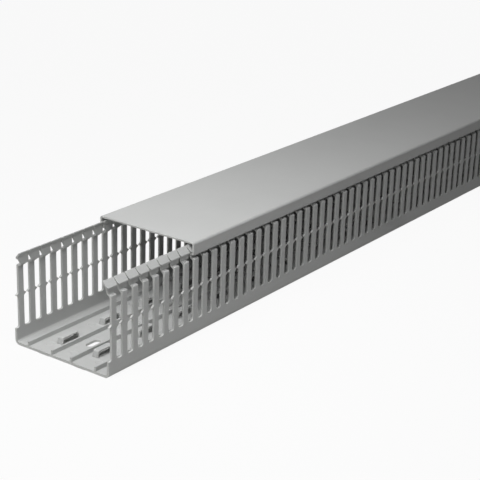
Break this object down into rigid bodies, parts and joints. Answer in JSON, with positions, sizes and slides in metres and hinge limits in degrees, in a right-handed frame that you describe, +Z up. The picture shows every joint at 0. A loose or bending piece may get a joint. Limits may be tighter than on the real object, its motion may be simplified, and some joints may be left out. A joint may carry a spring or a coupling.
{
  "type": "slotted cable trunking",
  "caption": "Length of slotted cable trunking: an open channel with finger walls, floor ribs and tie bridges, and a clip-on cover that slides along it.",
  "frame": {"origin": "middle of the channel's underside", "axes": "X along the length of the stock, Y across it, Z up out of the open side"},
  "size_m": [1.102, 0.1004, 0.0821],
  "materials": {
    "channel_pvc": "satin rigid PVC, extruded and punched",
    "cover_pvc": "satin rigid PVC, extruded"
  },
  "bodies": {
    "channel": {"base_channel": "channel_pvc"},
    "cover": {"cover": "cover_pvc"}
  },
  "joints": [
    {"name": "cover_slide", "type": "slide", "parent": "channel", "child": "cover", "axis": [1, 0, 0], "range_m": [-0.102, 0.9]}
  ]
}
